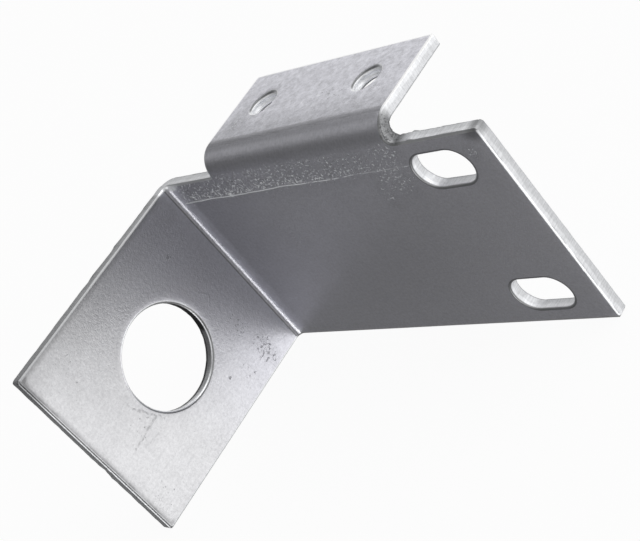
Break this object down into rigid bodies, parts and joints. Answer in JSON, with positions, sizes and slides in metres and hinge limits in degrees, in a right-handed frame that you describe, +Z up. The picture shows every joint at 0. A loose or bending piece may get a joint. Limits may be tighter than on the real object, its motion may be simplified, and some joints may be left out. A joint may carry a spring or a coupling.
{
  "type": "mounting bracket",
  "caption": "Stamped sheet-steel bracket: a slotted plate with a side flange pierced by a large round hole and a rear tab with tapped holes.",
  "frame": {"origin": "middle of the pair of slots, on the plate's back face", "axes": "+X along the plate, away from the flange; +Y out of the plate's back face, the way the tab points; +Z up across the plate, towards the tab"},
  "size_m": [0.075, 0.0625, 0.042],
  "materials": {
    "steel": "satin, bright zinc-plated sheet with grey cut edges"
  },
  "bodies": {
    "root": {"bracket": "steel"}
  },
  "joints": []
}
